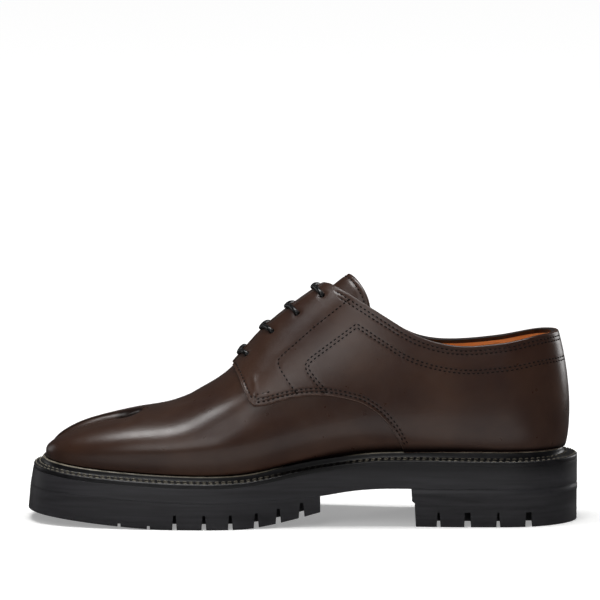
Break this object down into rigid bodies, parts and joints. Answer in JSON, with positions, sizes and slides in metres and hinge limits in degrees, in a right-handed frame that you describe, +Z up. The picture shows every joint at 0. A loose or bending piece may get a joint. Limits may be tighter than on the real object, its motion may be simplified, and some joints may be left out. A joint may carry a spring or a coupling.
{
  "type": "tabi lace-up shoe",
  "caption": "Right split-toe leather lace-up shoe: hollow upper, lapped quarters, tongue, lace bars, stitched welt, thick midsole, lugged forefoot sole and block heel.",
  "frame": {"origin": "on the ground under the centre of the shoe's box", "axes": "+X towards the back of the heel, +Y towards the outer (lateral) side, +Z up; the toe points along -X"},
  "size_m": [0.3, 0.1104, 0.1347],
  "materials": {
    "brown_calf": "smooth semi-gloss dark brown calf",
    "tan_lining": "matt tan lining leather",
    "black_welt": "black dressed welting",
    "black_rubber": "moulded satin rubber",
    "waxed_lace": "round waxed cotton cord"
  },
  "bodies": {
    "root": {"upper": "brown_calf", "quarter_medial": "brown_calf", "quarter_lateral": "brown_calf", "tongue": "brown_calf", "insole": "tan_lining", "welt": "black_welt", "midsole": "black_rubber", "outsole": "black_rubber", "heel": "black_rubber", "lace_bar_1": "waxed_lace", "lace_bar_2": "waxed_lace", "lace_bar_3": "waxed_lace", "lace_bar_4": "waxed_lace"}
  },
  "joints": []
}
